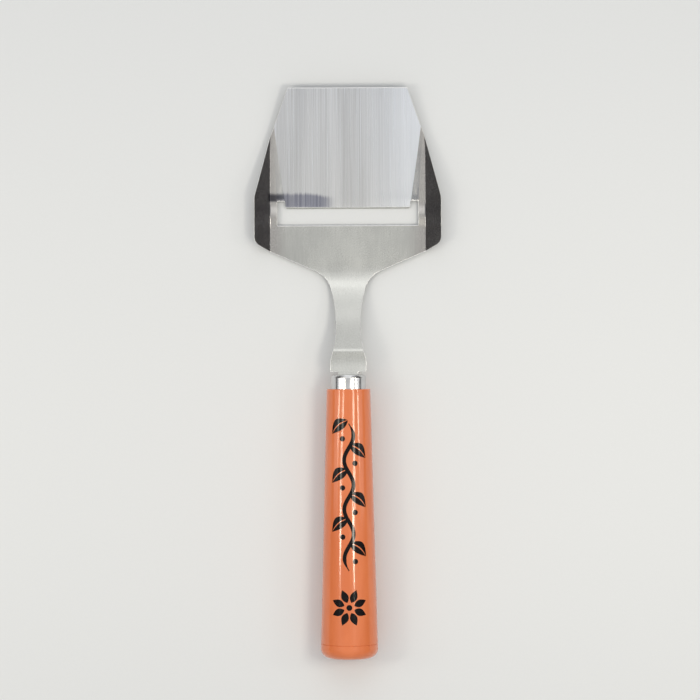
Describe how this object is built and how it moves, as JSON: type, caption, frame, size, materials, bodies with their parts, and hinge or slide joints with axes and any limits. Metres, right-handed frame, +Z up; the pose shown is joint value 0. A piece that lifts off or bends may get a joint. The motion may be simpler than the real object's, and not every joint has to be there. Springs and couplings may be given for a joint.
{
  "type": "cheese slicer",
  "caption": "Hand cheese slicer: a flat steel blade with a cutting slot and turned-up sides, on a cranked neck, with a chromed ferrule and a round tapered orange handle.",
  "frame": {"origin": "centre of the bounding box's base, on the surface that the slicer lies on", "axes": "+Y along the slicer from the butt of the handle to the tip of the blade, +Z up out of the serving side of the blade, +X across"},
  "size_m": [0.0774, 0.235, 0.0236],
  "materials": {
    "blade_steel": "satin, front plate ground lengthwise",
    "ferrule_chrome": "bright chrome",
    "handle_plastic": "high gloss orange",
    "cement_resin": "cured resin"
  },
  "bodies": {
    "root": {"blade": "blade_steel", "ferrule": "ferrule_chrome", "handle_shell": "handle_plastic", "tang_cement": "cement_resin", "end_cap": "handle_plastic"}
  },
  "joints": []
}
